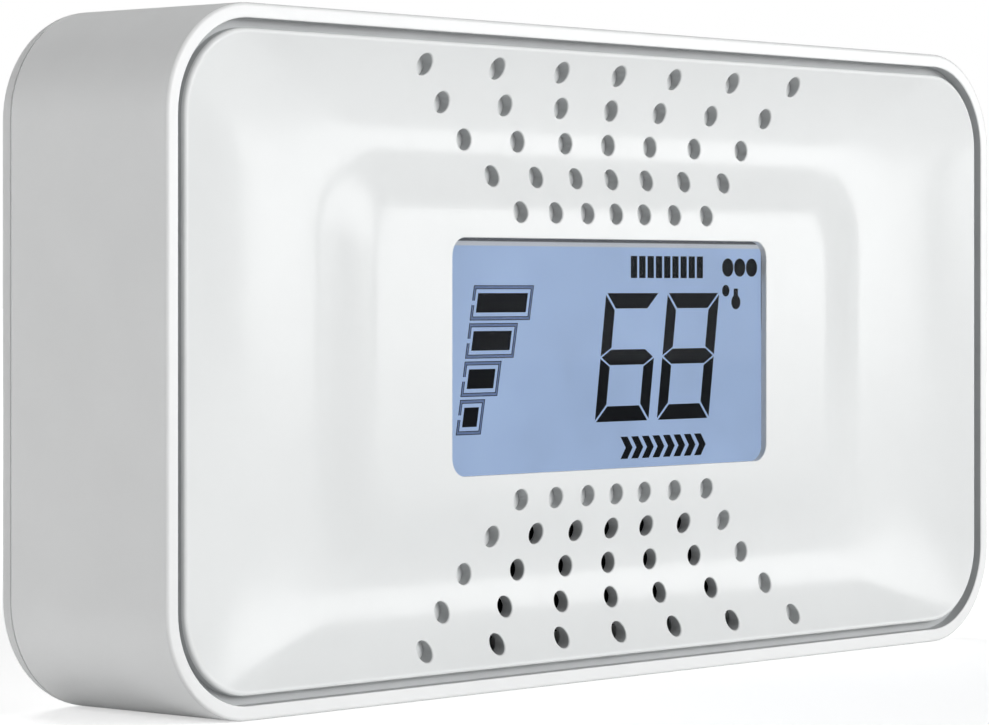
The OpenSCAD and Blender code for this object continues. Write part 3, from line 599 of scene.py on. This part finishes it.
def keyhole_outline(x):
    """Round entry with a narrower round-ended slot above it."""
    def outline(grow):
        entry, slot = KEYHOLE_ENTRY_R + grow, KEYHOLE_SLOT_R + grow
        meet = math.asin(slot / entry)
        steps = 24
        sweep = 2 * math.pi - 2 * meet
        turns = [i / steps for i in range(steps + 1)]
        low = [(x + entry * math.sin(meet + sweep * t), KEYHOLE_Z + entry * math.cos(meet + sweep * t))
               for t in turns]
        high = [(x - slot * math.cos(math.pi * t), KEYHOLE_Z + KEYHOLE_SLOT_L + slot * math.sin(math.pi * t))
                for t in turns]
        return np.array(low + high)
    return outline


def through_levels(chamfer=EDGE_CHAMFER):
    """Straight hole right through the back, with a chamfer at the outside."""
    return [(inner_back - 1, 0), (BACK - chamfer, 0), (BACK + chamfer, 2 * chamfer)]


def pocket_levels(depth, chamfer):
    return [(BACK - depth, 0), (BACK - chamfer, 0), (BACK + chamfer, 2 * chamfer)]


def round_outline(r, at):
    return lambda grow: circle(r + grow, 40, at)


def rect_outline(half, r, at):
    return lambda grow: rounded_rect(np.array(half) + grow, r + grow, 8) + np.array(at)


slider_low, slider_high = box_mm("activation_slider")
slider_mid = (slider_low + slider_high)[[0, 2]] / 2 + np.array([SLIDER_TRAVEL / 2, 0])
SLIDER_KNOB = 7.0
recess_half = [(SLIDER_KNOB + SLIDER_TRAVEL) / 2 + RECESS_MARGIN, SLIDER_KNOB / 2 + RECESS_MARGIN]
slot_half = [(NECK[0] + SLIDER_TRAVEL) / 2 + NECK_GAP, NECK[1] / 2 + NECK_GAP]
label_low, label_high = box_mm("rating_label")
label_mid = (label_low + label_high)[[0, 2]] / 2
label_half = (label_high - label_low)[[0, 2]] / 2 + LABEL_GAP

tools = [flared(keyhole_outline(s * KEYHOLE_X), through_levels()) for s in (-1, 1)]
for sx in (-1, 1):
    for sz in (-1, 1):
        at = SCREW_AT * (sx, sz)
        tools.append(flared(round_outline(SCREW_HOLE_R, at), [(inner_back - 1, 0), (BACK + 1, 0)]))
        tools.append(flared(round_outline(SCREW_HEAD_R, at), pocket_levels(SCREW_SEAT, 0.2)))
tools.append(flared(rect_outline(recess_half, 1.0, slider_mid), pocket_levels(RECESS_D, 0.2)))
tools.append(flared(rect_outline(slot_half, 0.5, slider_mid), [(inner_back - 1, 0), (BACK + 1, 0)]))
tools.append(flared(rect_outline(label_half, 2.0, label_mid), pocket_levels(LABEL_RECESS, 0.05)))
cut(cover, tools)
finish_edges(cover)
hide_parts("rear_cover")
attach(cover, "case")


# ---- Front panel: relief, vents and display opening in one skin ----


def level(t):
    """Half size, corner radius and depth of the relief.
    t is 0 at the panel's edge, 1 in the valley and 2 on the plateau."""
    t = np.asarray(t, float)[..., None]
    out, into = np.clip(t, 0, 1), np.clip(t - 1, 0, 1)
    half = HALF_PANEL + (VALLEY_HALF - HALF_PANEL) * out + (PLATEAU_HALF - VALLEY_HALF) * into
    r = PANEL_R + (VALLEY_R - PANEL_R) * out + (PLATEAU_R - VALLEY_R) * into
    down = PANEL_FRONT + (VALLEY_D - PANEL_FRONT) * (1 - (1 - out) ** OUTER_POWER)
    up = (PLATEAU_D - VALLEY_D) * into * into * (3 - 2 * into)
    return half, r[..., 0], (down + up)[..., 0]


def outside(points, half, r):
    """Signed distance from a rectangle with round corners, above 0 outside it."""
    q = np.abs(points) - half + np.asarray(r)[..., None]
    return np.hypot(*np.maximum(q, 0).T) + np.minimum(q.max(axis=-1), 0) - r


def relief(points):
    """Depth of the panel's face at x and z pairs, found by halving the range of t."""
    low, high = np.zeros(len(points)), np.full(len(points), 2.0)
    for _ in range(40):
        t = (low + high) / 2
        half, r, _ = level(t)
        is_out = outside(points, half, r) > 0
        high, low = np.where(is_out, t, high), np.where(is_out, low, t)
    depth = level((low + high) / 2)[2]
    edge = np.clip(-outside(points, HALF_PANEL, np.full(len(points), PANEL_R)), 0, PANEL_EDGE_ROUND)
    return depth + PANEL_EDGE_ROUND - np.sqrt(PANEL_EDGE_ROUND ** 2 - (PANEL_EDGE_ROUND - edge) ** 2)


def relief_normals(points, reach=0.02):
    """Normals of the face, from its slope over a small reach."""
    slopes = [(relief(points + step) - relief(points - step)) / (2 * reach) for step in np.eye(2) * reach]
    n = np.stack([slopes[0], -np.ones(len(points)), slopes[1]], axis=1)
    return n / np.linalg.norm(n, axis=1)[:, None]


def vent_list():
    """Centre of each vent, and whether it goes through."""
    for side in (-1, 1):
        for row in range(VENT_ROWS):
            z = VENT_FIRST + row * VENT_PITCH
            for k in range(-VENT_COLUMNS, VENT_COLUMNS + 1):
                is_open = side < 0 and row > 0 and abs(k) < VENT_COLUMNS
                yield np.array([z * (VENT_LEAN * k + VENT_SPREAD * k * abs(k)), side * z]), is_open


SKIN_LOOK, BACK_LOOK = 0, 1

face = Builder()
vents = list(vent_list())


def on_face(outline):
    return face.ring(at_depth(outline, relief(outline)), relief_normals(outline))


# Edge of the panel: rings down its round, then the side that stands in the groove.
PANEL_RUNS = (62, 26)
OPENING_RUNS = (40, 18)


def panel_outline(inset):
    return rounded_rect(HALF_PANEL - inset, PANEL_R - inset, runs=PANEL_RUNS)


edge_rings = [on_face(panel_outline(inset)) for inset, _ in quarter(PANEL_EDGE_ROUND)]
for inner, outer in zip(edge_rings, edge_rings[1:]):
    face.strip(outer, inner)
edge_foot = PANEL_FRONT + PANEL_EDGE_ROUND
# The panel's side down in the groove gets painted shade.
face.stack([at_depth(panel_outline(0), GROOVE_D), at_depth(panel_outline(0), edge_foot)], SHADE_PAINTED_LOOK)


def hole_rim(outline_at, round_r, floor, wall_look):
    """Rings down the rounded rim and the wall of a hole, whose outline is outline_at(grow).
    Returns the first ring."""
    wall = outline_at(0)
    along = np.roll(wall, -1, axis=0) - np.roll(wall, 1, axis=0)
    across = np.stack([-along[:, 1], along[:, 0]], axis=1)
    inward = at_depth(across / np.linalg.norm(across, axis=1)[:, None], 0)
    rim = []
    for inset, drop in quarter(round_r):
        outline = outline_at(inset)
        lean = math.asin(1 - inset / round_r)
        normals = relief_normals(outline) * math.cos(lean) + inward * math.sin(lean)
        rim.append(face.ring(at_depth(outline, relief(outline) + drop), normals))
    rim.append(face.ring(at_depth(wall, floor), inward))
    for upper, lower in zip(rim, rim[1:-1]):
        face.strip(upper, lower)
    face.strip(rim[-2], rim[-1], wall_look)
    return rim[0]


def vent_outline(centre):
    return lambda grow: circle(VENT_R + grow, VENT_STEPS, centre)


def opening_outline(grow):
    return rounded_rect(OPENING_HALF + grow, OPENING_R + grow, 8, OPENING_RUNS)


loops = [edge_rings[0], hole_rim(opening_outline, OPENING_ROUND, LIP_BACK, SKIN_LOOK)]
for centre, is_open in vents:
    floor = relief(centre[None])[0] + VENT_BLIND_D
    # Vent walls get painted shade.
    loops.append(hole_rim(vent_outline(centre), VENT_ROUND, floor, SHADE_PAINTED_LOOK))
    if not is_open:
        face.face(face.ring(at_depth(vent_outline(centre)(0), floor)))

# The skin between those loops: a grid of points joined by a triangulation that keeps the loops' edges.
GRID = 1.1
CLEAR = 0.5


def on_skin(points, margin):
    """True for the points of the face that are at least margin away from its edge and from every hole."""
    radius = np.ones(len(points))
    keep = outside(points, HALF_PANEL - PANEL_EDGE_ROUND, radius * (PANEL_R - PANEL_EDGE_ROUND)) < -margin
    keep &= outside(points, OPENING_HALF + OPENING_ROUND, radius * (OPENING_R + OPENING_ROUND)) > margin
    for centre, _ in vents:
        keep &= np.hypot(*(points - centre).T) > VENT_R + VENT_ROUND * 0.9 + margin
    return keep


columns, rows = [np.arange(-h, h, GRID) + (h % GRID) for h in HALF_PANEL]
grid = np.stack(np.meshgrid(columns, rows), axis=-1).reshape(-1, 2)
grid = grid[on_skin(grid, CLEAR)]
index = np.concatenate(loops + [on_face(grid)])
edges, start = [], 0
for loop in loops:
    edges += [(start + i, start + (i + 1) % len(loop)) for i in range(len(loop))]
    start += len(loop)
flat = [Vector((face.points[i][0], face.points[i][2])) for i in index]
found, _, triangles, sources, _, _ = delaunay_2d_cdt(flat, edges, [], 0, 1e-6)
corners = np.array([[found[v] for v in triangle] for triangle in triangles])
for triangle, is_skin in zip(triangles, on_skin(corners.mean(axis=1), 0)):
    if is_skin:
        face.face([index[sources[v][0]] for v in triangle])

# Its back, with the skirt, the posts and the gas duct, is the CAD's: the faces behind the skin are copied.
skin_back = VENT_BLIND_D + 0.05
solid = nodes["front_panel"].data
places = (np.array([v.co for v in solid.vertices]) - ORIGIN) / MM
polygons = list(solid.polygons)
middles = np.array([places[list(p.vertices)].mean(axis=0) for p in polygons])
is_behind = middles[:, 1] > relief(middles[:, [0, 2]]) + skin_back
for centre, _ in vents:
    is_behind &= np.hypot(*(middles[:, [0, 2]] - centre).T) > VENT_R * 1.1
kept = [p for p, behind in zip(polygons, is_behind) if behind or p.normal.y > 0.3]
copied = face.ring(places)
for polygon in kept:
    face.face([copied[v] for v in polygon.vertices], BACK_LOOK)

panel = face.piece("panel_shell", [panel_look, frame_look, shade_painted_look], outward=False)
panel.data.set_sharp_from_angle(angle=math.radians(40))
panel.data.normals_split_custom_set_from_vertices(face.normals)
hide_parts("front_panel")
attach(panel, "case")


# ---- Test button: a cap with a shallow dish, its flange and its stem ----

CAP_ROUND = 0.35
DISH = [(1.2, 0.0), (2.0, 0.07), (3.0, 0.17), (4.0, 0.23), (4.8, 0.25)]     # inset from the cap's edge, drop
FLANGE_T = 1.1
STEM_R = 1.6
STEM_STEPS = 24

flange_top = TOP - WALL - 0.1
flange_low = flange_top - FLANGE_T
button = Builder()
dish = [stadium_at(TOP - drop, -inset) for inset, drop in reversed(DISH)]
cap_round = [stadium_at(TOP - drop, -inset) for inset, drop in quarter(CAP_ROUND)]
button.solid(dish + cap_round + [stadium_at(flange_top, 0)])
button.solid([stadium_at(flange_low, FLANGE_W), stadium_at(flange_low, FLANGE_W - 0.01),
              stadium_at(flange_top, FLANGE_W)])
stem = circle(STEM_R, STEM_STEPS, (0, BUTTON_D))
button.solid([np.stack([stem[:, 0], stem[:, 1], np.full(STEM_STEPS, z)], axis=1)
              for z in (button_low[2], flange_low)])
cap = button.piece("test_button_cap", [button_look])
finish_edges(cap)
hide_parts("test_button")
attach(cap, "test_button")


# ---- Floor, camera and light ----

FLOOR_HALF = 6.0
FLOOR_GLOW = 0.5         # the floor is a lit table, as in a product studio
FLOOR_WHITE = (0.9, 0.9, 0.9)
GLOW_NEAR = 0.2          # metres from the detector, where the table's own light starts to rise
GLOW_FAR = 0.8           # and where it has doubled
BOUNCE_DROP = 0.0002


def floor_sheet(name, z, glow):
    """Level pale sheet at a height, whose own light doubles away from the detector."""
    sheet = bpy.data.meshes.new(name)
    corners = [(x * FLOOR_HALF, y * FLOOR_HALF, z) for x, y in ((-1, -1), (1, -1), (1, 1), (-1, 1))]
    sheet.from_pydata(corners, [], [(0, 1, 2, 3)])
    s = Shader(name + "_pale")
    s.feed(s.bsdf.inputs["Base Color"],
           s.blend(s.spread(s.noise(120), 0, 1), [c * 0.99 for c in FLOOR_WHITE], FLOOR_WHITE))
    s.feed(s.bsdf.inputs["Roughness"], s.spread(s.noise(40), 0.75, 0.85))
    s.feed(s.bsdf.inputs["Specular IOR Level"], 0.1)
    s.feed(s.bsdf.inputs["Emission Color"], (1, 1, 1, 1))
    distance = s.add("ShaderNodeVectorMath")
    distance.operation = "LENGTH"
    s.feed(distance.inputs[0], s.coords)
    rise = s.add("ShaderNodeMapRange", Value=distance.outputs["Value"])
    rise.inputs["From Min"].default_value, rise.inputs["From Max"].default_value = GLOW_NEAR, GLOW_FAR
    rise.inputs["To Min"].default_value, rise.inputs["To Max"].default_value = glow, 2 * glow
    s.feed(s.bsdf.inputs["Emission Strength"], rise.outputs[0])
    sheet.materials.append(s.material)
    obj = bpy.data.objects.new(name, sheet)
    bpy.context.scene.collection.objects.link(obj)
    return obj


# The sheet that is seen is bright. A dimmer one just under it gives the bounced light and the reflections.
seen_floor = floor_sheet("floor", 0, FLOOR_GLOW)
seen_floor.visible_diffuse = seen_floor.visible_glossy = seen_floor.visible_shadow = False
bounce_floor = floor_sheet("bounce_floor", -BOUNCE_DROP, 0)
bounce_floor.visible_camera = False

CAMERA_AT = (-0.35687, -0.30557, 0.04528)
CAMERA_TURN = -48.78
CAMERA_LENS = 144.65
CAMERA_SHIFT = -0.0762
camera_data = bpy.data.cameras.new("camera")
camera_data.lens = CAMERA_LENS
camera_data.shift_y = CAMERA_SHIFT
camera_data.clip_start = 0.01
camera = bpy.data.objects.new("camera", camera_data)
camera.location = CAMERA_AT
camera.rotation_euler = (math.radians(90), 0, math.radians(CAMERA_TURN))
bpy.context.scene.collection.objects.link(camera)
bpy.context.scene.camera = camera

AIM = Vector((0, 0, 0.035))


def softbox(name, azimuth, elevation, distance, width, height, power):
    """Area light that faces the detector, with its angles in degrees and its sizes in metres.
    Azimuth 0 is straight in front of the display, 90 to its right."""
    a, e = math.radians(azimuth), math.radians(elevation)
    lamp = bpy.data.lights.new(name, "AREA")
    lamp.shape, lamp.size, lamp.size_y, lamp.energy = "RECTANGLE", width, height, power
    obj = bpy.data.objects.new(name, lamp)
    offset = Vector((math.sin(a) * math.cos(e), -math.cos(a) * math.cos(e), math.sin(e))) * distance
    obj.location = AIM + offset
    obj.rotation_euler = offset.to_track_quat("Z", "Y").to_euler()
    bpy.context.scene.collection.objects.link(obj)
    return obj


# Three lamps light the shapes and leave no reflection. Two cards give the reflections and no light.
for lamp in (softbox("key", 17, 20, 2.4, 1.6, 1.2, 46.5),
             softbox("left", -112, 14, 1.2, 0.8, 0.8, 5.2),
             softbox("back", 158, 40, 1.4, 0.6, 0.6, 8.0)):
    lamp.visible_glossy = False
for card in (softbox("card", 29, 14, 1.5, 0.3, 0.7, 2.2),
             softbox("wall", 49, 2, 2.0, 0.7, 0.6, 3.6)):
    card.visible_diffuse = False

SEEN_STRENGTH = 1.0
AMBIENT = 0.08
world = bpy.data.worlds.new("studio")
world.use_nodes = True
bpy.context.scene.world = world
tree = world.node_tree
tree.nodes.clear()
path = tree.nodes.new("ShaderNodeLightPath")
seen = tree.nodes.new("ShaderNodeBackground")
unseen = tree.nodes.new("ShaderNodeBackground")
for background, strength in ((seen, SEEN_STRENGTH), (unseen, AMBIENT)):
    background.inputs["Color"].default_value = (1, 1, 1, 1)
    background.inputs["Strength"].default_value = strength
mix, output = tree.nodes.new("ShaderNodeMixShader"), tree.nodes.new("ShaderNodeOutputWorld")
tree.links.new(path.outputs["Is Camera Ray"], mix.inputs[0])
tree.links.new(unseen.outputs[0], mix.inputs[1])
tree.links.new(seen.outputs[0], mix.inputs[2])
tree.links.new(mix.outputs[0], output.inputs[0])

bpy.context.scene.view_settings.view_transform = "Standard"
